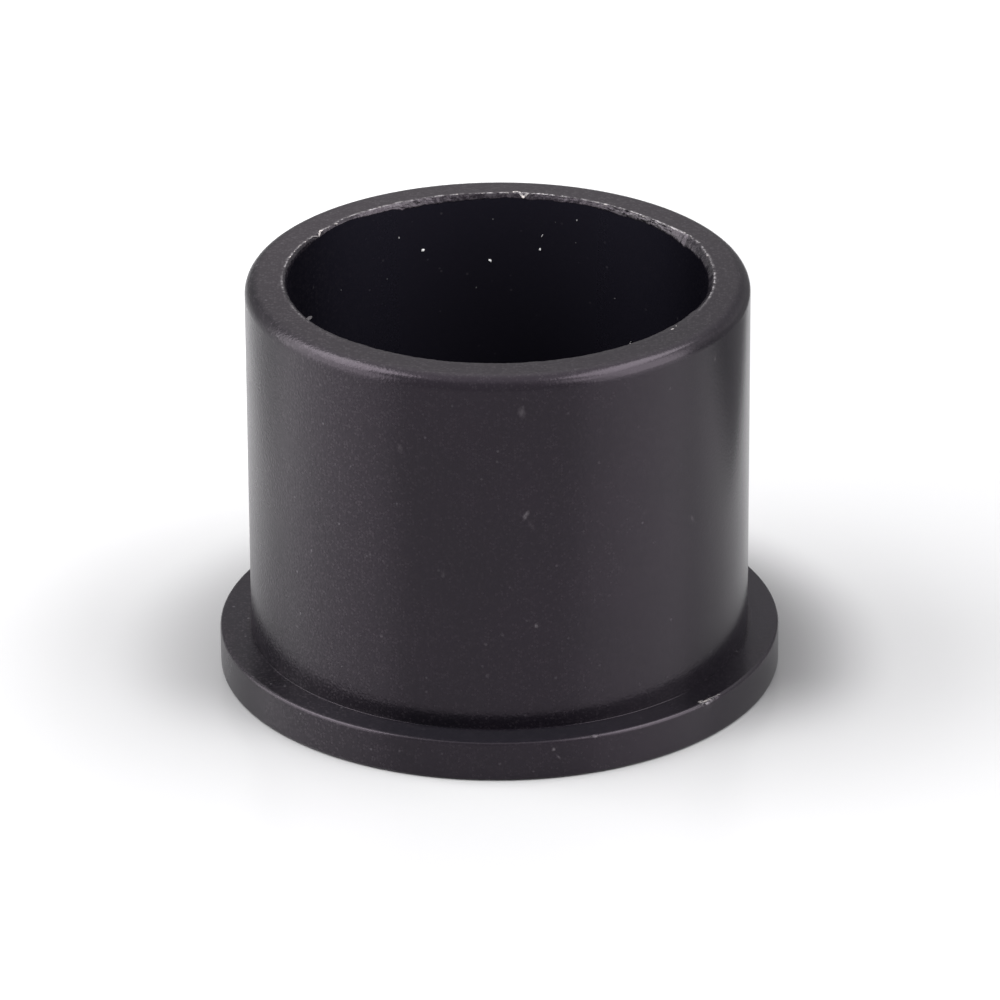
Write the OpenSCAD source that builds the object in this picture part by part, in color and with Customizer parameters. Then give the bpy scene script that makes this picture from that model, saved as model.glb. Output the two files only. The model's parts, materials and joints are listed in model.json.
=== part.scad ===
// Flanged axle bushing: a plain round sleeve with a thin collar at its foot,
// made in one piece of black plastic. It stands on the collar. The origin is
// at the centre of the foot face and +Z runs along the bore to the open end.

/* [Bore] */
// Diameter of the bore that the axle turns in
bore_d = 31.75; // [12:0.05:80]
// Radial width of the scraped edge at the open end of the bore
mouth_width = 0.22; // [0.05:0.01:0.6]
// Depth of the scraped edge at the open end of the bore
mouth_depth = 0.5; // [0.05:0.05:1.5]
// Width and depth of the small break at the collar end of the bore
foot_break = 0.2; // [0.05:0.05:0.6]

/* [Sleeve] */
// Thickness of the wall between the bore and the outside
wall = 3.175; // [2.2:0.025:8]
// Overall length from the foot face to the open end
overall_length = 31.75; // [14:0.25:90]
// Radius of the rounded outer rim at the open end
rim_round = 1.1; // [0.2:0.05:1.5]

/* [Collar] */
// How far the collar stands out past the sleeve
collar_reach = 2.38; // [0.8:0.02:12]
// Thickness of the collar
collar_thickness = 3.175; // [1.2:0.025:8]
// Radius of the slight round on both outer edges of the collar
collar_round = 0.15; // [0.05:0.05:0.5]

/* [Hidden] */
bore_r = bore_d / 2;
sleeve_r = bore_r + wall;
collar_r = sleeve_r + collar_reach;
// Colour of the plastic
plastic = [0.09, 0.09, 0.1];
// How far a cutting shape runs past the face that it cuts
cut_past = 1;
// Steps round the axis, and round the small circles of the section
turn_steps = 144;
corner_steps = 32;

// What a round of the given radius takes off a square outer corner at [r, z].
// The side is 1 where the solid lies below the corner and -1 where it lies above.
module corner_waste(r, z, radius, side) {
    translate([r, z])
        mirror([0, side < 0 ? 1 : 0])
            difference() {
                translate([-radius, -radius])
                    square(radius + cut_past);
                translate([-radius, -radius])
                    circle(radius, $fn = corner_steps);
            }
}

// Right half of the sleeve's section, with the rounded rim at the open end
module sleeve_section() {
    difference() {
        translate([bore_r, 0])
            square([wall, overall_length]);
        corner_waste(sleeve_r, overall_length, rim_round, 1);
    }
}

// Right half of the collar's section, from the bore out past the sleeve
module collar_section() {
    difference() {
        translate([bore_r, 0])
            square([wall + collar_reach, collar_thickness]);
        corner_waste(collar_r, collar_thickness, collar_round, 1);
        corner_waste(collar_r, 0, collar_round, -1);
    }
}

// Triangle that the scraped edge takes off the bore's corner at the open end
module mouth_waste() {
    polygon([
        [bore_r, overall_length - mouth_depth],
        [bore_r + mouth_width, overall_length],
        [bore_r + mouth_width, overall_length + cut_past],
        [bore_r - cut_past, overall_length + cut_past],
        [bore_r - cut_past, overall_length - mouth_depth]
    ]);
}

// Triangle that the small break takes off the bore's corner at the foot
module foot_waste() {
    polygon([
        [bore_r, foot_break],
        [bore_r + foot_break, 0],
        [bore_r + foot_break, -cut_past],
        [bore_r - cut_past, -cut_past],
        [bore_r - cut_past, foot_break]
    ]);
}

// The whole bushing, turned round its axis in one piece
module bushing() {
    color(plastic)
        rotate_extrude($fn = turn_steps)
            difference() {
                union() {
                    sleeve_section();
                    collar_section();
                }
                mouth_waste();
                foot_waste();
            }
}

bushing();
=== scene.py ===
# Axle bushing: the skin of the moulded black plastic bushing with its scraped mouth,
# the burrs torn up along its edges and the dust in its bore, on a pale table.
import json
import math

import bpy
import numpy as np
from mathutils import Matrix, Vector


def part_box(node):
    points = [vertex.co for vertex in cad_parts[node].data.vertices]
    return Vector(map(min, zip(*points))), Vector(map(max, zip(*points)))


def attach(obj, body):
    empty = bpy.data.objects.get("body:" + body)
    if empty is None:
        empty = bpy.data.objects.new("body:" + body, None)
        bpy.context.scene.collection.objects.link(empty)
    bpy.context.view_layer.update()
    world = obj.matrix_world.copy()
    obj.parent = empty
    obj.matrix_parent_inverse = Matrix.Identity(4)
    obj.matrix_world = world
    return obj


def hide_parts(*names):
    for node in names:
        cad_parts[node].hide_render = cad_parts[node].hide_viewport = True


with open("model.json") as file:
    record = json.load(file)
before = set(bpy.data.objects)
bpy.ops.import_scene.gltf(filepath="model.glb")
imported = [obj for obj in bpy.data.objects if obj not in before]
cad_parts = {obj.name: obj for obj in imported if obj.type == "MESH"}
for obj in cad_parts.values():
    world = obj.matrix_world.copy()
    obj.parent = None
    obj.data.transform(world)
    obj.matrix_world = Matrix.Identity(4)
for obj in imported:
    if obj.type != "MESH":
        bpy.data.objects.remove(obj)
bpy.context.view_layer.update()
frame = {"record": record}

MM = 0.001

# Sizes of the bushing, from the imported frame
mounts = {mount["name"]: mount for mount in frame["record"]["mounts"]}
node_low, node_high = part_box("bushing")
BORE_R = mounts["bore"]["dims"]["r_mm"] * MM
SLEEVE_R = mounts["outside"]["dims"]["r_mm"] * MM
COLLAR_R = min(-node_low.x, node_high.x, -node_low.y, node_high.y)
COLLAR_TOP = mounts["collar_shoulder"]["pos_m"][2]
LENGTH = node_high.z
RIM_ROUND = LENGTH - COLLAR_TOP - mounts["outside"]["dims"]["length_mm"] * MM
COLLAR_ROUND = 0.24 * MM
FOOT_BREAK = 0.2 * MM
# The end face lies this much under the highest burr, and a low step runs round the sleeve's foot
BURR_STAND = 0.03 * MM
STEP_REACH = 0.15 * MM
STEP_RISE = 0.03 * MM

# Camera, from a pinhole fit to the outlines in the photograph
CAMERA_PLACE = Vector((0.0, -0.525433, 0.259601))
CAMERA_YAW = 0.000176
CAMERA_PITCH = 0.438671
CAMERA_ROLL = -0.005561
CAMERA_LENS = 273.99
SENSOR = 36.0

# Scraped edge at the open end: azimuth in degrees, width on the end face and depth in the bore in mm,
# how rough the scraped wall is left, and the power by which its slope rolls over into the end face
MOUTH = np.array([
    (0, 0.44, 0.60, 0.2, 1.2), (8, 0.44, 0.50, 0.2, 1.2), (14, 0.48, 0.48, 0.45, 1.2),
    (18, 0.52, 0.58, 0.5, 1.2), (24, 0.58, 0.66, 0.45, 1.2), (29, 0.46, 0.74, 0.35, 1.2),
    (34, 0.22, 0.74, 0.6, 1.2), (40, 0.10, 0.48, 0.9, 1.2), (46, 0.06, 0.48, 1.0, 1.2),
    (52, 0.08, 0.50, 1.0, 1.2), (58, 0.14, 0.46, 0.6, 1.2), (64, 0.18, 0.38, 0.4, 1.2),
    (72, 0.28, 0.38, 0.35, 1.2), (80, 0.30, 0.38, 0.4, 1.2), (88, 0.24, 0.34, 0.4, 1.2),
    (94, 0.17, 0.38, 0.4, 1.2), (100, 0.26, 0.46, 0.5, 1.2), (108, 0.24, 0.54, 0.65, 1.2),
    (116, 0.28, 0.50, 0.9, 1.2), (124, 0.24, 0.36, 0.6, 1.2), (130, 0.27, 0.22, 0.4, 1.2),
    (136, 0.34, 0.11, 0.2, 1.2), (142, 0.16, 0.16, 0.3, 1.2), (150, 0.18, 0.30, 0.2, 1.2),
    (156, 0.24, 0.42, 0.0, 1.2), (168, 0.28, 0.48, 0.0, 1.2), (184, 0.34, 0.52, 0.0, 1.2),
    (202, 0.42, 0.46, 0.0, 1.2), (214, 0.50, 0.30, 0.0, 1.6), (230, 0.74, 0.11, 0.0, 2.0),
    (322, 0.70, 0.10, 0.0, 2.0), (336, 0.50, 0.20, 0.1, 1.5), (348, 0.43, 0.50, 0.2, 1.2),
])
# How far the straight scrape gives way to a plain round, against azimuth
MOUTH_ROUNDED = np.array([(150, 0.0), (156, 1.0), (202, 1.0), (212, 0.0)])
# How strongly the lip of the scraped edge and the scraped wall below it are whitened, against azimuth
LIP_PALE = np.array([
    (0, 0.7, 0.0), (4, 1.0, 0.0), (12, 0.5, 0.0), (20, 0.6, 0.0), (28, 1.1, 0.0), (36, 1.3, 0.1),
    (42, 1.4, 0.25), (46, 1.6, 0.25), (54, 1.7, 0.2), (60, 1.5, 0.05), (66, 1.4, 0.0), (72, 1.6, 0.0),
    (78, 1.3, 0.0), (88, 1.0, 0.0), (100, 1.0, 0.0), (106, 0.8, 0.0), (118, 0.9, 0.1), (124, 1.1, 0.0),
    (136, 1.2, 0.0), (142, 1.0, 0.0), (149, 0.6, 0.0), (155, 0.9, 0.0), (161, 0.7, 0.0), (184, 0.5, 0.0),
    (203, 0.4, 0.0), (212, 0.15, 0.0), (230, 0.0, 0.0), (325, 0.0, 0.0), (338, 0.12, 0.0),
    (345, 0.5, 0.0), (352, 0.75, 0.0),
])

# Burrs at the mouth: three points (azimuth, mm out from the bore wall, mm below the top), half width in
# mm, and how pale it is
MOUTH_BURRS = [
    ((85.8, 0.30, 0.04), (84.7, 0.62, 0.03), (83.6, 0.30, 0.04), 0.095, 1.0),
    ((84.3, 0.50, 0.035), (83.2, 0.10, 0.02), (82.7, -0.04, 0.36), 0.110, 1.0),
    ((82.9, -0.04, 0.36), (82.0, 0.10, 0.06), (81.3, 0.36, 0.04), 0.100, 0.9),
    ((209.4, 0.36, 0.06), (208.6, 0.06, 0.04), (207.4, -0.30, 0.10), 0.150, 0.08),
    ((146.2, 0.34, 0.04), (148.0, 0.12, 0.04), (149.6, -0.12, 0.20), 0.080, 0.9),
    ((151.6, 0.24, 0.04), (150.4, 0.04, 0.04), (149.2, -0.10, 0.20), 0.060, 0.7),
]
# Lumps of torn plastic along the lip: azimuth, mm out from the bore wall, half length, half width in mm
LIP_LUMPS = [
    (12.8, 0.42, 0.12, 0.06), (29.6, 0.50, 0.22, 0.08), (26.4, 0.56, 0.16, 0.06), (35.5, 0.20, 0.20, 0.07),
    (38.3, 0.20, 0.16, 0.07), (45.2, 0.06, 0.26, 0.09), (49.0, 0.05, 0.16, 0.06), (58.7, 0.10, 0.15, 0.08),
    (61.5, 0.14, 0.10, 0.06), (71.5, 0.22, 0.13, 0.09), (77.6, 0.36, 0.12, 0.08), (87.2, 0.18, 0.14, 0.06),
    (93.9, 0.17, 0.12, 0.06), (101.0, 0.26, 0.10, 0.06), (117.0, 0.36, 0.15, 0.09), (124.0, 0.28, 0.16, 0.09),
    (131.0, 0.27, 0.12, 0.06), (134.6, 0.30, 0.14, 0.06), (140.4, 0.10, 0.22, 0.07), (144.0, 0.12, 0.14, 0.06),
    (146.6, 0.20, 0.20, 0.08), (152.4, 0.16, 0.28, 0.07), (155.4, 0.20, 0.14, 0.06), (158.8, 0.26, 0.20, 0.06),
    (162.4, 0.26, 0.14, 0.05), (166.2, 0.28, 0.18, 0.05), (322.0, 0.50, 0.16, 0.07), (324.2, 0.42, 0.10, 0.05),
    (307.6, 0.10, 0.05, 0.04),
]
# Torn lip on the collar's upper edge: azimuth, mm in from the collar's side, mm above its top
COLLAR_BURRS = [
    ((314.9, 0.42, -0.02), (315.3, 0.36, 0.08), (315.9, 0.22, 0.14), 0.060, 0.35),
    ((315.0, 0.28, -0.01), (316.6, 0.18, 0.01), (318.0, 0.05, 0.00), 0.060, 0.45),
    ((316.6, 0.26, 0.00), (318.4, 0.20, 0.04), (320.3, 0.10, 0.00), 0.035, 0.30),
    ((320.1, 0.20, -0.02), (320.5, 0.12, 0.05), (320.9, 0.03, 0.00), 0.040, 0.40),
    ((288.1, 0.06, -0.04), (288.5, 0.02, 0.00), (289.0, 0.01, -0.02), 0.030, 0.15),
]
# How dull the collar's top is left, against azimuth. The same table also lightens the collar top's colour as
# painted light, strongest at the front and none at 210 and 320 to 332 degrees.
COLLAR_DULL_AND_PAINTED_LIGHT = np.array([
    (0, 1.3), (20, 1.2), (170, 1.0), (190, 0.9), (202, 0.4), (210, 0.0), (220, 0.1), (230, 0.8),
    (240, 1.0), (260, 1.35), (280, 1.35), (290, 1.1), (304, 0.7), (314, 0.2), (320, 0.0), (332, 0.0),
    (344, 0.5), (352, 1.0),
])
# How much of the low step at the sleeve's foot stands, against azimuth
STEP_SHARE = np.array([
    (198, 0.0), (208, 0.7), (246, 0.7), (256, 0.3), (284, 0.3), (290, 0.7), (311, 0.7), (319, 0.0),
])
# Dents in the collar's upper edge: azimuth, half length, reach and depth in mm
COLLAR_DENTS = [
    (316.6, 0.45, 0.16, 0.16),
    (319.4, 0.22, 0.14, 0.10),
    (289.5, 0.13, 0.11, 0.09),
]
# Soft pale rubs on the outside: azimuth, height, half length, half width in mm, slant in degrees, strength
SLEEVE_MARKS = [
    (276.0, 20.70, 0.46, 0.22, -25, 0.95),
    (277.2, 19.90, 0.60, 0.20, 30, 0.15),
    (275.2, 29.05, 0.55, 0.35, 10, 0.40),
    (278.3, 11.60, 0.23, 0.20, 0, 0.95),
    (266.9, 10.20, 0.17, 0.15, 0, 0.50),
    (270.6, 11.00, 0.20, 0.14, 20, 0.30),
    (239.9, 16.40, 0.17, 0.15, 0, 0.55),
    (242.5, 9.90, 0.17, 0.15, 0, 0.55),
    (247.7, 25.60, 0.45, 0.30, 0, 0.25),
    (257.4, 15.70, 0.30, 0.20, 0, 0.22),
    (319.2, 17.30, 0.50, 0.20, 25, 0.30),
    (327.6, 29.30, 0.35, 0.20, 0, 0.30),
    (267.2, 7.60, 0.25, 0.18, 0, 0.28),
    (38.0, 21.00, 0.60, 0.15, 40, 0.45),
    (95.0, 12.50, 0.30, 0.20, -15, 0.40),
    (141.0, 18.70, 0.55, 0.14, 65, 0.50),
]
COLLAR_MARKS = [
    (280.7, 2.46, 0.17, 0.17, 0, 1.00),
    (281.7, 1.80, 0.34, 0.09, 40, 0.55),
    (276.6, 0.75, 0.12, 0.12, 0, 0.40),
    (120.0, 1.60, 0.30, 0.12, 30, 0.50),
]
# Dust in the bore: azimuth, height, half length, half width in mm, slant in degrees, how pale it is
BORE_DUST = [
    (118.5, 28.90, 0.08, 0.06, 0, 0.45), (111.2, 27.50, 0.14, 0.11, 60, 1.0), (92.1, 26.15, 0.16, 0.09, -35, 1.0),
    (78.0, 27.20, 0.12, 0.08, 0, 1.0), (77.4, 28.35, 0.13, 0.04, 30, 0.55), (67.2, 30.00, 0.07, 0.05, 20, 0.40),
    (139.2, 26.10, 0.05, 0.04, 0, 0.10), (122.5, 25.70, 0.05, 0.04, 0, 0.10), (55.2, 24.10, 0.05, 0.04, 0, 0.20),
    (49.6, 20.85, 0.07, 0.05, 40, 0.15), (91.2, 29.60, 0.05, 0.04, 0, 0.10), (73.6, 29.60, 0.04, 0.04, 0, 0.05),
    (96.0, 23.90, 0.07, 0.04, 25, 0.10), (67.6, 28.10, 0.05, 0.04, 0, 0.10),
]


def cylinder_point(azimuth, radius, height):
    """Points at an azimuth in degrees round the axis, a radius from it and a height above the foot."""
    turned = np.radians(azimuth)
    return np.stack([radius * np.cos(turned), radius * np.sin(turned), height + 0 * turned], axis=-1)


def ring_noise(seed, columns, rows, azimuth, level):
    """Value noise that closes round the axis. Random numbers sit on a lattice of `columns` azimuths and
    `rows` levels, and each point takes the mean of its four neighbours, weighted by smooth steps."""
    lattice = np.random.default_rng(seed).uniform(-1, 1, (rows + 2, columns))
    across = (azimuth / (2 * math.pi) * columns) % columns
    up = np.clip(level, 0, 1) * rows
    column = np.floor(across).astype(int)
    row = np.floor(up).astype(int)
    u = across - column
    v = up - row
    u = u * u * (3 - 2 * u)
    v = v * v * (3 - 2 * v)
    after = (column + 1) % columns
    column = column % columns
    low = lattice[row, column] * (1 - u) + lattice[row, after] * u
    high = lattice[row + 1, column] * (1 - u) + lattice[row + 1, after] * u
    return low * (1 - v) + high * v


def mesh_object(name, points, faces, material):
    """Mesh object at the origin from an array of points and an array of faces, shaded smooth."""
    mesh = bpy.data.meshes.new(name)
    mesh.from_pydata(points.tolist(), [], faces.tolist())
    mesh.shade_smooth()
    mesh.materials.append(material)
    piece = bpy.data.objects.new(name, mesh)
    bpy.context.scene.collection.objects.link(piece)
    return piece


def point_attribute(piece, name, values):
    """Gives each point of a piece its own number under the given name."""
    attribute = piece.data.attributes.new(name, "FLOAT", "POINT")
    attribute.data.foreach_set("value", np.ascontiguousarray(values, np.float32).ravel())


# The skin: one closed section carried once round the axis

TURN_STEPS = 1360
SCRAPE_ROWS = 14
GUARD = 0.04 * MM
RIM_STEPS = 9
LIP_REACH = 0.15 * MM
TOP_OFFSETS = np.array([0.05, 0.12, 0.20, 0.50, 1.00]) * MM
COLLAR_OFFSETS = np.array([0.62, 0.50, 0.41, 0.33, 0.26, 0.19, 0.13, 0.07]) * MM


def rows_between(start, end, count):
    """`count` even shares from start to end, with the start left out and the end kept."""
    return start + (end - start) * np.arange(1, count + 1) / count


def bushing_section(azimuth):
    """Radius and height of each section row at each azimuth, with masks over the same grid: scrape, lip, scuff,
    dull and bore, and the tear at the collar's dents.
    The dull mask also carries painted light into the collar top's colour. The rows go up the bore, over the
    scraped edge, whose drop is a power of the way left to the lip, and the end face, round the rim by the radius
    times sine and cosine, down the sleeve, over the low step at its foot, out over the collar, down its side and
    back underneath. A guard row beside each round keeps the long faces flat in shade."""
    plain = np.ones_like(azimuth)
    degrees = np.degrees(azimuth)
    width = np.interp(degrees, MOUTH[:, 0], MOUTH[:, 1], period=360) * MM
    depth = np.interp(degrees, MOUTH[:, 0], MOUTH[:, 2], period=360) * MM
    roughed = np.interp(degrees, MOUTH[:, 0], MOUTH[:, 3], period=360)
    roll = np.interp(degrees, MOUTH[:, 0], MOUTH[:, 4], period=360)
    rounded = np.interp(degrees, MOUTH_ROUNDED[:, 0], MOUTH_ROUNDED[:, 1])
    pale = np.interp(degrees, LIP_PALE[:, 0], LIP_PALE[:, 1], period=360)
    wall_pale = np.interp(degrees, LIP_PALE[:, 0], LIP_PALE[:, 2], period=360)
    step_rise = STEP_RISE * np.interp(degrees, STEP_SHARE[:, 0], STEP_SHARE[:, 1])
    middle = 0 * azimuth + 0.5
    pale = pale * np.clip(0.75 + 0.75 * ring_noise(16, 380, 1, azimuth, middle), 0.15, 1)
    ragged = 0.3 + 0.7 * roughed
    width = width * (1 + 0.16 * ragged * ring_noise(11, 150, 1, azimuth, middle))
    width = width + 0.050 * MM * ragged * ring_noise(12, 330, 1, azimuth, middle)
    width = np.maximum(width + 0.022 * MM * ragged * ring_noise(13, 640, 1, azimuth, middle), 0.03 * MM)
    depth = depth * (1 + 0.18 * ring_noise(14, 120, 1, azimuth, middle))
    depth = depth * (1 + 0.16 * ring_noise(15, 420, 1, azimuth, middle))
    end = LENGTH - BURR_STAND
    rows = []

    def row(radius, height, scrape=0.0, lip=0.0, scuff=0.0, dull_and_painted_light=0.0, bore=0.0):
        rows.append([plain * value for value in (radius, height, scrape, lip, scuff, dull_and_painted_light, bore)])

    worn_top = 0.50 + 0.40 * np.clip(np.sin(azimuth) + 0.3, 0, 1) - 0.15 * np.cos(azimuth)
    row(BORE_R + FOOT_BREAK, 0, bore=1.0)
    row(BORE_R, FOOT_BREAK, bore=1.0)
    row(BORE_R, LENGTH * 0.5, bore=1.0)
    row(BORE_R, LENGTH - 1.6 * MM, bore=1.0)
    row(BORE_R, end - depth - GUARD, bore=1.0)
    for share in np.arange(SCRAPE_ROWS + 1) / SCRAPE_ROWS:
        step = 1 - (1 - share) ** 1.3
        level = 0 * azimuth + step
        drift = azimuth + 0.010 * step
        open_part = math.sin(math.pi * step)
        gouge = 0.045 * ring_noise(21, 260, 5, drift, level) + 0.030 * ring_noise(22, 600, 9, drift, level)
        turn = 0.5 * math.pi * step
        outward = (1 - rounded) * step ** 1.15 + rounded * (1 - math.cos(turn))
        drop = (1 - rounded) * (1 - step) ** roll + rounded * (1 - math.sin(turn))
        radius = BORE_R + width * outward + gouge * open_part * roughed * MM
        scrape = roughed * min(1.0, 6 * step)
        whitened = np.maximum(pale * max(0.0, step * 6 - 5), wall_pale * open_part)
        scuffed = worn_top * np.where(roll > 1.5, 1.0, step ** 8)
        row(radius, end - depth * drop, scrape, whitened, scuffed)
    for offset in TOP_OFFSETS:
        fade = max(0.0, 1 - offset / LIP_REACH)
        row(BORE_R + width + offset, end, 0.0, pale * fade, worn_top)
    row(SLEEVE_R - RIM_ROUND - GUARD, end, 0.0, 0.0, worn_top)
    for angle in rows_between(-math.pi / 2 / RIM_STEPS, math.pi / 2, RIM_STEPS + 1):
        scuff = max(0.0, 1 - angle / 0.5)
        row(SLEEVE_R + RIM_ROUND * (math.sin(angle) - 1), end + RIM_ROUND * (math.cos(angle) - 1), scuff=scuff * worn_top)
    row(SLEEVE_R, end - RIM_ROUND - GUARD)
    for height in rows_between(end - RIM_ROUND, COLLAR_TOP, 3)[:2]:
        row(SLEEVE_R, height)
    row(SLEEVE_R, COLLAR_TOP + STEP_RISE + GUARD)
    row(SLEEVE_R, COLLAR_TOP + step_rise)
    row(SLEEVE_R + GUARD, COLLAR_TOP + step_rise)
    for angle in rows_between(-math.pi / 6, math.pi / 2, 4):
        row(SLEEVE_R + STEP_REACH + STEP_RISE * math.sin(angle), COLLAR_TOP + step_rise * math.cos(angle))
    # The collar top's dull share, which also lightens its colour as painted light.
    collar_matte_and_painted_light = np.interp(degrees, COLLAR_DULL_AND_PAINTED_LIGHT[:, 0], COLLAR_DULL_AND_PAINTED_LIGHT[:, 1], period=360)
    row(SLEEVE_R + STEP_REACH + STEP_RISE + GUARD, COLLAR_TOP, dull_and_painted_light=0.4 * collar_matte_and_painted_light)
    row(SLEEVE_R + 0.42 * MM, COLLAR_TOP, dull_and_painted_light=collar_matte_and_painted_light)
    row(SLEEVE_R + 0.70 * MM, COLLAR_TOP, dull_and_painted_light=collar_matte_and_painted_light)
    row(SLEEVE_R + 1.00 * MM, COLLAR_TOP, dull_and_painted_light=0.8 * collar_matte_and_painted_light)
    for offset in COLLAR_OFFSETS:
        row(COLLAR_R - COLLAR_ROUND - offset, COLLAR_TOP, dull_and_painted_light=0.8 * collar_matte_and_painted_light)
    for angle in rows_between(-math.pi / 8, math.pi / 2, 5):
        row(
            COLLAR_R + COLLAR_ROUND * (math.sin(angle) - 1),
            COLLAR_TOP + COLLAR_ROUND * (math.cos(angle) - 1),
            dull_and_painted_light=collar_matte_and_painted_light * max(0.0, 1 - 2 * math.sin(angle)) * 0.8,
        )
    row(COLLAR_R, COLLAR_TOP - COLLAR_ROUND - GUARD)
    for height in rows_between(COLLAR_TOP - COLLAR_ROUND, COLLAR_ROUND, 4)[:3]:
        row(COLLAR_R, height)
    row(COLLAR_R, COLLAR_ROUND + GUARD)
    for angle in rows_between(-math.pi / 6, math.pi / 2, 4):
        row(COLLAR_R + COLLAR_ROUND * (math.cos(angle) - 1), COLLAR_ROUND * (1 - math.sin(angle)))
    row((BORE_R + COLLAR_R) / 2, 0)
    radii, heights, scrape, lip, scuff, dull_and_painted_light, bore = np.array(rows).transpose(1, 0, 2)
    tear = np.zeros_like(radii)
    for turned, half_length, reach, dent_depth in COLLAR_DENTS:
        along = (np.degrees(azimuth) - turned) * math.pi / 180 * COLLAR_R / (half_length * MM)
        near = np.hypot(COLLAR_R - radii, COLLAR_TOP - heights) / (reach * MM)
        dent = np.exp(-along ** 2 - near ** 2) * (1 + 0.5 * ring_noise(31, 1100, 1, azimuth, middle))
        radii = radii - dent * dent_depth * 0.5 * MM
        heights = heights - dent * dent_depth * 0.8 * MM * (radii > SLEEVE_R + 0.2 * MM)
        tear = np.maximum(tear, dent)
    tear = np.clip(0.7 * tear, 0, 1)
    return radii, heights, {"scrape": scrape, "lip": lip, "scuff": scuff, "dull_and_painted_light": dull_and_painted_light, "bore": bore, "tear": tear}


def closed_grid(rows, columns):
    """Quads of a grid that closes both ways, wound so that they face out of the section's solid side."""
    i, j = np.meshgrid(np.arange(rows), np.arange(columns), indexing="ij")
    after_i = (i + 1) % rows
    after_j = (j + 1) % columns
    corners = [i * columns + j, after_i * columns + j, after_i * columns + after_j, i * columns + after_j]
    return np.stack(corners, axis=-1).reshape(-1, 4)


# Small loose forms: slivers of torn plastic and grains of dust

RINGS = 12
SIDES = 8
BALL_RINGS = 5
BALL_SIDES = 10


def sliver(start, bend, end, half_width, half_thickness, facing):
    """A curved path through three points carries an ellipse that swells and closes by the square root of
    a sine. Its wide way lies across the path and across `facing`; both ends close to a point."""
    s = np.linspace(0, 1, RINGS + 2)[:, None]
    path = (1 - s) ** 2 * start + 2 * s * (1 - s) * bend + s ** 2 * end
    along = np.gradient(path, axis=0)
    along = along / np.linalg.norm(along, axis=1, keepdims=True)
    across = np.cross(along, facing)
    across = across / np.linalg.norm(across, axis=1, keepdims=True)
    thick = np.cross(across, along)
    swell = np.sqrt(np.clip(np.sin(math.pi * (0.12 + 0.88 * s)), 0, 1))
    turn = np.arange(SIDES) / SIDES * 2 * math.pi
    ring = path[1:-1, None] + swell[1:-1, None] * (
        half_width * np.cos(turn)[None, :, None] * across[1:-1, None]
        + half_thickness * np.sin(turn)[None, :, None] * thick[1:-1, None]
    )
    return path[0], ring, path[-1]


def tapered_mesh(forms):
    """Joins forms of one tip, a stack of rings and a last tip into one set of points and triangles."""
    points = []
    faces = []
    start = 0
    for first, ring, last in forms:
        rings, sides = ring.shape[:2]
        points.append(np.vstack([first[None], ring.reshape(-1, 3), last[None]]))
        j = np.arange(sides)
        after = (j + 1) % sides
        low = start + 1 + np.arange(rings - 1)[:, None] * sides
        faces.append(np.stack([start + 0 * j, start + 1 + after, start + 1 + j], axis=-1))
        faces.append(np.stack([low + j, low + after, low + sides + after], axis=-1).reshape(-1, 3))
        faces.append(np.stack([low + j, low + sides + after, low + sides + j], axis=-1).reshape(-1, 3))
        top = start + 1 + (rings - 1) * sides
        tip = start + 1 + rings * sides
        faces.append(np.stack([top + j, top + after, tip + 0 * j], axis=-1))
        start = start + 2 + rings * sides
    return np.vstack(points), np.vstack(faces)


def flattened_ball(centre, outward, along, half_length, half_width, rng):
    """A flattened ball: rings of latitude, each stretched along and across, with a ragged outline."""
    across = np.cross(outward, along)
    latitude = np.linspace(-math.pi / 2, math.pi / 2, BALL_RINGS + 2)[1:-1, None]
    turn = (np.arange(BALL_SIDES) / BALL_SIDES * 2 * math.pi)[None, :]
    ragged = 1 + 0.28 * rng.uniform(-1, 1, (1, BALL_SIDES))
    flat = np.cos(latitude) * ragged
    half_height = 0.55 * half_width
    ring = (
        centre
        + (flat * np.cos(turn))[..., None] * half_length * along
        + (flat * np.sin(turn))[..., None] * half_width * across
        + (np.sin(latitude) + 0 * turn)[..., None] * half_height * outward
    )
    return centre - half_height * outward, ring, centre + half_height * outward


# Shader nodes

def add_node(tree, kind, **settings):
    """Adds a node of the given kind with its settings."""
    node = tree.nodes.new(kind)
    for name, value in settings.items():
        setattr(node, name, value)
    return node


def feed(tree, socket, source):
    """Joins a source socket to an input, or writes a plain number there."""
    if isinstance(source, bpy.types.NodeSocket):
        tree.links.new(source, socket)
    else:
        socket.default_value = source


def maths(tree, operation, first, second=0.0, clamp=False):
    """Result socket of a Math node on two sockets or numbers."""
    node = add_node(tree, "ShaderNodeMath", operation=operation, use_clamp=clamp)
    feed(tree, node.inputs[0], first)
    feed(tree, node.inputs[1], second)
    return node.outputs[0]


def remap(tree, value, low, high, to_low=0.0, to_high=1.0):
    """Result socket of a Map Range node that stretches low..high over to_low..to_high."""
    node = add_node(tree, "ShaderNodeMapRange", interpolation_type="SMOOTHSTEP")
    feed(tree, node.inputs["Value"], value)
    node.inputs["From Min"].default_value = low
    node.inputs["From Max"].default_value = high
    node.inputs["To Min"].default_value = to_low
    node.inputs["To Max"].default_value = to_high
    return node.outputs["Result"]


def noise(tree, position, scale, detail=2.0, roughness=0.5):
    """Factor socket of a Noise texture at a position."""
    node = add_node(tree, "ShaderNodeTexNoise")
    feed(tree, node.inputs["Vector"], position)
    feed(tree, node.inputs["Scale"], scale)
    node.inputs["Detail"].default_value = detail
    node.inputs["Roughness"].default_value = roughness
    return node.outputs["Fac"]


def blend_colour(tree, share, first, second):
    """Result socket of a colour mix, first at share 0 and second at share 1."""
    node = add_node(tree, "ShaderNodeMix", data_type="RGBA")
    feed(tree, node.inputs["Factor"], share)
    feed(tree, node.inputs["A"], first)
    feed(tree, node.inputs["B"], second)
    return node.outputs["Result"]


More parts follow.
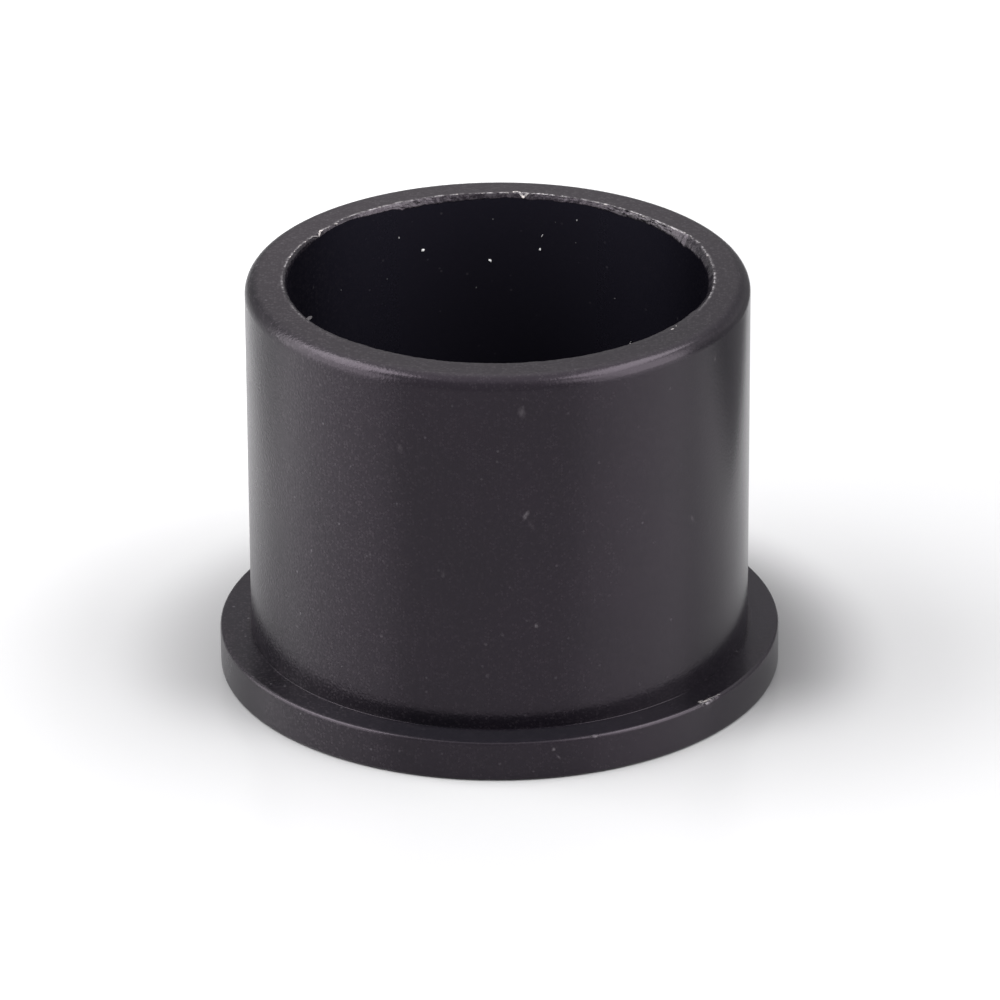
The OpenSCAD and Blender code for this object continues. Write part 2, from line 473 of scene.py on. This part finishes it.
def new_group(name, inputs, outputs):
    """Shader node group with the named sockets, and its input and output nodes."""
    group = bpy.data.node_groups.new(name, "ShaderNodeTree")
    for label, kind in inputs:
        group.interface.new_socket(name=label, in_out="INPUT", socket_type=kind)
    for label, kind in outputs:
        group.interface.new_socket(name=label, in_out="OUTPUT", socket_type=kind)
    return group, group.nodes.new("NodeGroupInput"), group.nodes.new("NodeGroupOutput")


def place_group(tree, group, **values):
    """Places a group in a material, with its inputs joined or set by name."""
    node = add_node(tree, "ShaderNodeGroup", node_tree=group)
    for name, value in values.items():
        feed(tree, node.inputs[name.replace("_", " ")], value)
    return node


def grain_group():
    """Moulded grain: two smooth noises give a height and a broad noise a slow mottle. Soft tips stand round the
    points of a close Voronoi texture and rare small dots round those of a wide one, each of its own strength."""
    group, given, result = new_group(
        "moulded_grain",
        [("Position", "NodeSocketVector"), ("Scale", "NodeSocketFloat")],
        [
            ("Height", "NodeSocketFloat"),
            ("Tips", "NodeSocketFloat"),
            ("Mottle", "NodeSocketFloat"),
            ("Dots", "NodeSocketFloat"),
        ],
    )
    position = given.outputs["Position"]
    fine = noise(group, position, given.outputs["Scale"], 0.0)
    medium = noise(group, position, maths(group, "MULTIPLY", given.outputs["Scale"], 0.55), 1.0)
    broad = noise(group, position, maths(group, "MULTIPLY", given.outputs["Scale"], 0.025), 3.0, 0.6)
    height = maths(group, "ADD", maths(group, "MULTIPLY", fine, 0.6), maths(group, "MULTIPLY", medium, 0.4))
    group.links.new(height, result.inputs["Height"])
    group.links.new(broad, result.inputs["Mottle"])
    for output, share, outer, inner, faint in (("Tips", 0.95, 0.72, 0.12, 0.2), ("Dots", 0.18, 0.13, 0.05, 0.35)):
        cells = add_node(group, "ShaderNodeTexVoronoi")
        group.links.new(position, cells.inputs["Vector"])
        group.links.new(maths(group, "MULTIPLY", given.outputs["Scale"], share), cells.inputs["Scale"])
        shade = add_node(group, "ShaderNodeSeparateColor")
        group.links.new(cells.outputs["Color"], shade.inputs[0])
        spot = remap(group, cells.outputs["Distance"], outer, inner)
        spot = maths(group, "MULTIPLY", spot, remap(group, shade.outputs[0], faint, 1.0))
        group.links.new(spot, result.inputs[output])
    return group


def scraped_group():
    """Scraped plastic: short ragged streaks, strongest where the mask is high, as a share and a height."""
    group, given, result = new_group(
        "scraped_plastic",
        [("Position", "NodeSocketVector"), ("Mask", "NodeSocketFloat"), ("Scale", "NodeSocketFloat")],
        [("Share", "NodeSocketFloat"), ("Height", "NodeSocketFloat")],
    )
    position = given.outputs["Position"]
    fine = noise(group, position, given.outputs["Scale"], 4.0, 0.65)
    coarse = noise(group, position, maths(group, "MULTIPLY", given.outputs["Scale"], 0.3), 2.0, 0.5)
    both = maths(group, "ADD", maths(group, "MULTIPLY", fine, 0.6), maths(group, "MULTIPLY", coarse, 0.4))
    broken = remap(group, both, 0.44, 0.58)
    share = maths(group, "MULTIPLY", broken, given.outputs["Mask"], clamp=True)
    height = maths(group, "MULTIPLY", fine, given.outputs["Mask"])
    group.links.new(share, result.inputs["Share"])
    group.links.new(height, result.inputs["Height"])
    return group


def rub_mask(tree, position, marks, radius):
    """Largest of the masks of the rubs. Each is a soft lens turned by azimuth and slant on the surface."""
    result = None
    for azimuth, height, half_length, half_width, slant, strength in marks:
        turned = add_node(tree, "ShaderNodeMapping", vector_type="TEXTURE")
        tree.links.new(position, turned.inputs["Vector"])
        turned.inputs["Location"].default_value = cylinder_point(azimuth, radius, height * MM)
        turned.inputs["Rotation"].default_value = (math.radians(slant), 0, math.radians(azimuth))
        turned.inputs["Scale"].default_value = (0.4 * MM, half_width * MM, half_length * MM)
        far = add_node(tree, "ShaderNodeVectorMath", operation="LENGTH")
        tree.links.new(turned.outputs["Vector"], far.inputs[0])
        mask = remap(tree, far.outputs["Value"], 1.15, 0.1, 0.0, strength)
        result = mask if result is None else maths(tree, "MAXIMUM", result, mask)
    return result


def new_material(name):
    """Material with its node tree, its Principled shader and the object coordinates."""
    material = bpy.data.materials.new(name)
    material.use_nodes = True
    tree = material.node_tree
    shader = tree.nodes["Principled BSDF"]
    position = add_node(tree, "ShaderNodeTexCoord").outputs["Object"]
    return material, tree, shader, position


def bump(tree, shader, height, distance, strength=1.0):
    """Bends the shader's normal by a height over a distance in metres."""
    node = add_node(tree, "ShaderNodeBump")
    node.inputs["Strength"].default_value = strength
    node.inputs["Distance"].default_value = distance
    tree.links.new(height, node.inputs["Height"])
    tree.links.new(node.outputs["Normal"], shader.inputs["Normal"])


def wobbled(tree, position, scale, reach):
    """The position moved a little by a colour noise, so that what follows it gets an uneven outline."""
    texture = add_node(tree, "ShaderNodeTexNoise")
    tree.links.new(position, texture.inputs["Vector"])
    texture.inputs["Scale"].default_value = scale
    centred = add_node(tree, "ShaderNodeVectorMath", operation="SUBTRACT")
    tree.links.new(texture.outputs["Color"], centred.inputs[0])
    centred.inputs[1].default_value = (0.5, 0.5, 0.5)
    scaled = add_node(tree, "ShaderNodeVectorMath", operation="SCALE")
    tree.links.new(centred.outputs["Vector"], scaled.inputs[0])
    scaled.inputs["Scale"].default_value = reach
    moved = add_node(tree, "ShaderNodeVectorMath", operation="ADD")
    tree.links.new(position, moved.inputs[0])
    tree.links.new(scaled.outputs["Vector"], moved.inputs[1])
    return moved.outputs["Vector"]


BLACK = (0.0036, 0.0028, 0.0046, 1)
DEEP_BLACK = (0.0026, 0.0024, 0.0036, 1)
# Bore colours: painted light towards the back of the bore, painted shade towards its front and sides.
BORE_PAINTED_LIGHT_BLACK = (0.0078, 0.0073, 0.0112, 1)
BORE_PAINTED_SHADE_BLACK = (0.0016, 0.0015, 0.0026, 1)
# Collar top colour, lighter than the plain black: painted light where the collar top is dull.
DULL_PAINTED_LIGHT_BLACK = (0.0061, 0.0058, 0.0079, 1)
SCUFFED_BLACK = (0.0150, 0.0130, 0.0150, 1)
TIP_GREY = (0.022, 0.0190, 0.0225, 1)
SCUFFED_GREY = (0.033, 0.0305, 0.033, 1)
DOT_GREY = (0.058, 0.054, 0.060, 1)
SCRAPED_GREY = (0.050, 0.046, 0.051, 1)
PALE_GREY = (0.330, 0.315, 0.325, 1)
RUB_GREY = (0.070, 0.064, 0.070, 1)
SPECULAR_TINT = (1.0, 0.86, 1.0, 1)


def satin_black_plastic(grain, scraped):
    """Black plastic with moulded grain, more frosted on the side towards -X and dull on the collar, with its
    scraped and whitened mouth, torn edge and pale rubs. Painted light lightens the collar top's colour by azimuth
    and the back of the bore; painted shade darkens the bore towards its front and sides."""
    material, tree, shader, position = new_material("satin_black_plastic")
    grained = place_group(tree, grain, Position=position, Scale=5200.0)
    parts = add_node(tree, "ShaderNodeSeparateXYZ")
    tree.links.new(position, parts.inputs[0])
    scrape, lip, scuff, dull_and_painted_light, bore, tear = [
        add_node(tree, "ShaderNodeAttribute", attribute_name=name).outputs["Fac"]
        for name in ("scrape", "lip", "scuff", "dull_and_painted_light", "bore", "tear")
    ]
    frosted = remap(tree, parts.outputs["X"], -4.0 * MM, -15.0 * MM, 0.34, 1.0)
    frosted = maths(tree, "MULTIPLY", frosted, remap(tree, grained.outputs["Mottle"], 0.25, 0.60, 0.75, 1.0))
    frosted = maths(tree, "MULTIPLY", frosted, remap(tree, bore, 0.0, 1.0, 1.0, 0.25))
    chatter = place_group(tree, scraped, Position=position, Mask=scrape, Scale=6000.0)
    whitened = place_group(tree, scraped, Position=position, Mask=maths(tree, "MAXIMUM", lip, tear), Scale=4500.0)
    loose = wobbled(tree, position, 2600.0, 0.22 * MM)
    rubs = maths(
        tree,
        "MAXIMUM",
        rub_mask(tree, loose, SLEEVE_MARKS, SLEEVE_R),
        rub_mask(tree, loose, COLLAR_MARKS, COLLAR_R),
    )
    speckle = noise(tree, position, 7000.0, 2.0)
    rubs = maths(tree, "MULTIPLY", rubs, remap(tree, speckle, 0.30, 0.62, 0.35, 1.0))
    tips = maths(tree, "MULTIPLY", grained.outputs["Tips"], frosted)
    scuffed_tips = maths(tree, "MULTIPLY", grained.outputs["Tips"], scuff)
    # Painted light and shade in the bore: its wall is coloured darker towards the front and sides, below Y = 3 mm,
    # and lighter towards the back, above Y = 15 mm.
    bore_painted_light = remap(tree, parts.outputs["Y"], 3.0 * MM, 15.0 * MM)
    colour = blend_colour(tree, remap(tree, grained.outputs["Mottle"], 0.3, 0.7), DEEP_BLACK, BLACK)
    colour = blend_colour(tree, bore, colour, blend_colour(tree, bore_painted_light, BORE_PAINTED_SHADE_BLACK, BORE_PAINTED_LIGHT_BLACK))
    # Painted light: the dull share of the collar top lightens its colour.
    colour = blend_colour(tree, dull_and_painted_light, colour, DULL_PAINTED_LIGHT_BLACK)
    colour = blend_colour(tree, tips, colour, TIP_GREY)
    colour = blend_colour(tree, scuff, colour, SCUFFED_BLACK)
    colour = blend_colour(tree, scuffed_tips, colour, SCUFFED_GREY)
    dotted = maths(tree, "MAXIMUM", frosted, maths(tree, "MULTIPLY", bore, 0.35))
    dots = maths(tree, "MULTIPLY", grained.outputs["Dots"], dotted)
    colour = blend_colour(tree, dots, colour, DOT_GREY)
    colour = blend_colour(tree, rubs, colour, RUB_GREY)
    colour = blend_colour(tree, chatter.outputs["Share"], colour, SCRAPED_GREY)
    colour = blend_colour(tree, whitened.outputs["Share"], colour, PALE_GREY)
    tree.links.new(colour, shader.inputs["Base Color"])
    worn = maths(tree, "MAXIMUM", chatter.outputs["Share"], whitened.outputs["Share"])
    rough = maths(tree, "ADD", maths(tree, "MULTIPLY", frosted, 0.09), 0.19)
    rough = maths(tree, "ADD", rough, maths(tree, "MULTIPLY", maths(tree, "MAXIMUM", dull_and_painted_light, scuff), 0.16))
    rough = maths(tree, "ADD", rough, maths(tree, "MULTIPLY", worn, 0.20))
    rough = maths(tree, "ADD", rough, maths(tree, "MULTIPLY", rubs, 0.15))
    tree.links.new(rough, shader.inputs["Roughness"])
    shader.inputs["IOR"].default_value = 1.36
    shader.inputs["Specular Tint"].default_value = SPECULAR_TINT
    raised = remap(tree, parts.outputs["Z"], COLLAR_TOP - 0.1 * MM, COLLAR_TOP + 1.2 * MM, 0.35, 1.0)
    raised = maths(tree, "MULTIPLY", raised, maths(tree, "MAXIMUM", frosted, scuff))
    height = maths(tree, "MULTIPLY", grained.outputs["Height"], raised)
    height = maths(tree, "ADD", height, maths(tree, "MULTIPLY", chatter.outputs["Height"], 0.55))
    height = maths(tree, "ADD", height, maths(tree, "MULTIPLY", whitened.outputs["Height"], 0.55))
    bump(tree, shader, height, 0.030 * MM)
    return material


def torn_plastic(scraped):
    """Stretched, whitened plastic of the burrs."""
    material, tree, shader, position = new_material("torn_plastic")
    streaks = place_group(tree, scraped, Position=position, Mask=1.0, Scale=5200.0)
    pale = add_node(tree, "ShaderNodeAttribute", attribute_name="pale").outputs["Fac"]
    colour = blend_colour(tree, streaks.outputs["Share"], (0.10, 0.092, 0.096, 1), (0.40, 0.37, 0.36, 1))
    colour = blend_colour(tree, pale, (0.016, 0.014, 0.017, 1), colour)
    tree.links.new(colour, shader.inputs["Base Color"])
    tree.links.new(maths(tree, "ADD", streaks.outputs["Share"], 0.35, clamp=True), shader.inputs["Roughness"])
    shader.inputs["IOR"].default_value = 1.45
    bump(tree, shader, streaks.outputs["Height"], 0.012 * MM)
    return material


def pale_dust(grain):
    """Dull, fibrous grains of pale dust."""
    material, tree, shader, position = new_material("pale_dust")
    grained = place_group(tree, grain, Position=position, Scale=9000.0)
    pale = add_node(tree, "ShaderNodeAttribute", attribute_name="pale").outputs["Fac"]
    colour = blend_colour(tree, grained.outputs["Mottle"], (0.55, 0.55, 0.56, 1), (0.85, 0.85, 0.84, 1))
    colour = blend_colour(tree, pale, (0.02, 0.02, 0.024, 1), colour)
    tree.links.new(colour, shader.inputs["Base Color"])
    shader.inputs["Roughness"].default_value = 0.9
    shader.inputs["IOR"].default_value = 1.3
    bump(tree, shader, grained.outputs["Height"], 0.02 * MM)
    return material


def pale_table(grain):
    """Smooth white laminate with a soft gloss and a barely uneven surface. Painted light makes its left side
    slightly lighter.
    Painted shade darkens a patch close round the collar's sides and back, deeper on the right, a spot beneath the
    bushing and the far sides."""
    material, tree, shader, position = new_material("pale_table")
    grained = place_group(tree, grain, Position=position, Scale=900.0)
    across = add_node(tree, "ShaderNodeVectorMath", operation="DOT_PRODUCT")
    tree.links.new(position, across.inputs[0])
    across.inputs[1].default_value = (-0.8, 0.6, 0.0)
    # Painted light: the floor's colour is lighter towards the left and back, along (-0.8, 0.6), from 5 to 70 mm
    # out.
    lighter = remap(tree, across.outputs["Value"], 5.0 * MM, 70.0 * MM)
    colour = blend_colour(tree, lighter, (0.40, 0.40, 0.405, 1), (0.53, 0.53, 0.535, 1))
    mottle = maths(tree, "MULTIPLY", grained.outputs["Mottle"], 0.10)
    colour = blend_colour(tree, mottle, colour, (0.50, 0.50, 0.50, 1))
    far = add_node(tree, "ShaderNodeVectorMath", operation="LENGTH")
    tree.links.new(position, far.inputs[0])
    parts = add_node(tree, "ShaderNodeSeparateXYZ")
    tree.links.new(position, parts.inputs[0])
    # Painted shade: the floor's colour darkens close round the collar's sides and back, deeper on the right.
    near = remap(tree, far.outputs["Value"], 21.0 * MM, 31.0 * MM, 1.0, 0.0)
    behind = remap(tree, parts.outputs["Y"], -17.0 * MM, -3.0 * MM)
    side = remap(tree, parts.outputs["X"], -20.0 * MM, 20.0 * MM, 0.35, 0.70)
    shade = maths(tree, "MULTIPLY", maths(tree, "MULTIPLY", near, behind), side)
    # Painted shade on the far sides of the floor, towards the back and deeper on the right.
    aside = maths(tree, "ABSOLUTE", maths(tree, "ADD", parts.outputs["X"], 3.0 * MM))
    aside = maths(tree, "SUBTRACT", aside, maths(tree, "MULTIPLY", parts.outputs["Y"], 0.06))
    rearward = remap(tree, parts.outputs["Y"], 8.0 * MM, 30.0 * MM)
    painted_far_shade = maths(tree, "MULTIPLY", remap(tree, aside, 42.5 * MM, 49.0 * MM), rearward)
    painted_far_shade = maths(tree, "MULTIPLY", painted_far_shade, remap(tree, parts.outputs["X"], -10.0 * MM, 10.0 * MM, 0.4, 0.85))
    # Painted shade in a spot beneath the bushing, inside the bore.
    under = remap(tree, far.outputs["Value"], 19.0 * MM, 21.0 * MM, 0.85, 0.0)
    shade = maths(tree, "MAXIMUM", shade, maths(tree, "MAXIMUM", under, painted_far_shade))
    # All the painted shade mixes the floor's colour towards near black.
    colour = blend_colour(tree, shade, colour, (0.02, 0.02, 0.022, 1))
    tree.links.new(colour, shader.inputs["Base Color"])
    shader.inputs["Roughness"].default_value = 0.22
    shader.inputs["IOR"].default_value = 1.6
    bump(tree, shader, grained.outputs["Height"], 0.004 * MM)
    return material


# Camera

def photo_camera():
    """Camera turned by yaw, pitch down and roll, looking along +Y."""
    view_way = Vector((
        math.sin(CAMERA_YAW) * math.cos(CAMERA_PITCH),
        math.cos(CAMERA_YAW) * math.cos(CAMERA_PITCH),
        -math.sin(CAMERA_PITCH),
    ))
    level_right = view_way.cross(Vector((0, 0, 1))).normalized()
    level_up = level_right.cross(view_way)
    right = math.cos(CAMERA_ROLL) * level_right + math.sin(CAMERA_ROLL) * level_up
    up = math.cos(CAMERA_ROLL) * level_up - math.sin(CAMERA_ROLL) * level_right
    turned = Matrix((right, up, -view_way)).transposed().to_4x4()
    data = bpy.data.cameras.new("photo_camera")
    data.sensor_width = SENSOR
    data.lens = CAMERA_LENS
    data.clip_start = 0.01
    data.clip_end = 20
    camera = bpy.data.objects.new("photo_camera", data)
    camera.matrix_world = Matrix.Translation(CAMERA_PLACE) @ turned
    bpy.context.scene.collection.objects.link(camera)
    bpy.context.scene.camera = camera


def softbox(name, place, aim, width, height, radiance):
    """Rectangular soft light that faces the aim; its power follows from the radiance and the area."""
    data = bpy.data.lights.new(name, "AREA")
    data.shape = "RECTANGLE"
    data.size = width
    data.size_y = height
    data.energy = radiance * math.pi * width * height
    light = bpy.data.objects.new(name, data)
    light.location = place
    light.rotation_mode = "QUATERNION"
    light.rotation_quaternion = (Vector(aim) - Vector(place)).to_track_quat("-Z", "Y")
    light.visible_camera = False
    bpy.context.scene.collection.objects.link(light)


def studio_world():
    """Even studio surroundings, darker behind and lighter towards a point a little behind the zenith."""
    world = bpy.data.worlds.new("studio")
    world.use_nodes = True
    tree = world.node_tree
    direction = add_node(tree, "ShaderNodeTexCoord").outputs["Generated"]
    tilted = add_node(tree, "ShaderNodeVectorMath", operation="DOT_PRODUCT")
    tree.links.new(direction, tilted.inputs[0])
    tilted.inputs[1].default_value = (0.0, 0.2, 1.0)
    parts = add_node(tree, "ShaderNodeSeparateXYZ")
    tree.links.new(direction, parts.inputs[0])
    low = remap(tree, parts.outputs["Y"], -0.6, 0.5, 0.88, 0.68)
    low = maths(tree, "SUBTRACT", low, remap(tree, parts.outputs["Y"], 0.55, 0.92, 0.0, 0.35))
    level = maths(tree, "ADD", low, remap(tree, tilted.outputs["Value"], 0.52, 1.05, 0.0, 1.05))
    background = tree.nodes["Background"]
    background.inputs["Color"].default_value = (1.0, 0.99, 1.0, 1)
    tree.links.new(level, background.inputs["Strength"])
    bpy.context.scene.world = world


def studio_point(azimuth, elevation):
    """Place of a light's centre at the studio distance, by its azimuth and elevation in degrees."""
    a = math.radians(azimuth)
    e = math.radians(elevation)
    return LIGHT_DISTANCE * np.array([math.cos(e) * math.cos(a), math.cos(e) * math.sin(a), math.sin(e)])


# Softboxes: name, azimuth and elevation in degrees, width and height in metres, radiance
LIGHT_DISTANCE = 0.7
SOFTBOXES = [
    ("left_high", 178, 50, 0.50, 0.40, 7.4),
    ("left_low", 188, 18.5, 0.84, 0.44, 3.9),
    ("right_high", -6, 56, 0.56, 0.32, 6.4),
    ("right_low", -24, 21.5, 0.67, 0.53, 2.9),
    ("right_core", -20, 21.5, 0.40, 0.44, 1.6),
    ("right_front", -50, 38, 0.24, 0.28, 1.7),
    ("right_side", 12, 30, 0.26, 0.28, 0.5),
]

photo_camera()
for name, turned, raised, width, height, radiance in SOFTBOXES:
    softbox(name, studio_point(turned, raised), (0, 0, 0), width, height, radiance)
studio_world()
settings = bpy.context.scene.view_settings
settings.view_transform = "Standard"
settings.look = "None"

grain = grain_group()
scraped = scraped_group()
plastic = satin_black_plastic(grain, scraped)
torn = torn_plastic(scraped)
dust = pale_dust(grain)
table = pale_table(grain)

# Bushing

azimuth = np.arange(TURN_STEPS) / TURN_STEPS * 2 * math.pi
radii, heights, masks = bushing_section(azimuth)
points = np.stack([radii * np.cos(azimuth), radii * np.sin(azimuth), heights], axis=-1).reshape(-1, 3)
skin = mesh_object("bushing_skin", points, closed_grid(*radii.shape), plastic)
skin.data.set_sharp_from_angle(angle=math.radians(38))
for name, values in masks.items():
    point_attribute(skin, name, values)
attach(skin, "root")
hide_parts("bushing")

# Burrs

up = np.array([0, 0, 1.0])
forms = []
pales = []
for (*ends, half_width, pale) in MOUTH_BURRS:
    path = [cylinder_point(a, BORE_R + out * MM, LENGTH - below * MM) for a, out, below in ends]
    forms.append(sliver(*path, half_width * MM, 0.030 * MM, up - cylinder_point(ends[0][0], 0.6, 0)))
    pales.append(np.full(RINGS * SIDES + 2, pale))
rng = np.random.default_rng(8)
for turned, out, half_length, half_width in LIP_LUMPS:
    centre = cylinder_point(turned, BORE_R + out * MM, LENGTH - 0.6 * half_width * MM)
    along = cylinder_point(turned + 90, 1.0, 0)
    forms.append(flattened_ball(centre, up, along, half_length * MM, half_width * MM, rng))
    pales.append(np.full(BALL_RINGS * BALL_SIDES + 2, rng.uniform(0.45, 1.0)))
burr_points, burr_faces = tapered_mesh(forms)
burr_points[:, 2] = np.minimum(burr_points[:, 2], LENGTH - 0.001 * MM)
mouth_burrs = mesh_object("mouth_burrs", burr_points, burr_faces, torn)
point_attribute(mouth_burrs, "pale", np.concatenate(pales))
forms = []
pales = []
for (*ends, half_width, pale) in COLLAR_BURRS:
    path = [cylinder_point(a, COLLAR_R - inward * MM, COLLAR_TOP + over * MM) for a, inward, over in ends]
    forms.append(sliver(*path, half_width * MM, 0.025 * MM, up + cylinder_point(ends[0][0], 0.8, 0)))
    pales.append(np.full(RINGS * SIDES + 2, pale))
burr_points, burr_faces = tapered_mesh(forms)
collar_burrs = mesh_object("collar_burrs", burr_points, burr_faces, torn)
point_attribute(collar_burrs, "pale", np.concatenate(pales))

# Dust

rng = np.random.default_rng(5)
forms = []
pales = []
for turned, height, half_length, half_width, slant, pale in BORE_DUST:
    outward = -cylinder_point(turned, 1.0, 0)
    sideways = np.cross(up, outward)
    lean = math.radians(slant)
    along = math.cos(lean) * up + math.sin(lean) * sideways
    centre = cylinder_point(turned, BORE_R - 0.3 * half_width * MM, height * MM)
    forms.append(flattened_ball(centre, outward, along, half_length * MM, half_width * MM, rng))
    pales.append(np.full(BALL_RINGS * BALL_SIDES + 2, pale))
dust_points, dust_faces = tapered_mesh(forms)
bore_dust = mesh_object("bore_dust", dust_points, dust_faces, dust)
point_attribute(bore_dust, "pale", np.concatenate(pales))

for piece in (mouth_burrs, collar_burrs, bore_dust):
    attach(piece, "root")
    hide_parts("bushing")

# Floor

HALF_FLOOR = 2.5
floor_points = np.array([(-1, -1, 0), (1, -1, 0), (1, 1, 0), (-1, 1, 0)]) * HALF_FLOOR
floor = mesh_object("table_top", floor_points, np.array([(0, 1, 2, 3)]), table)
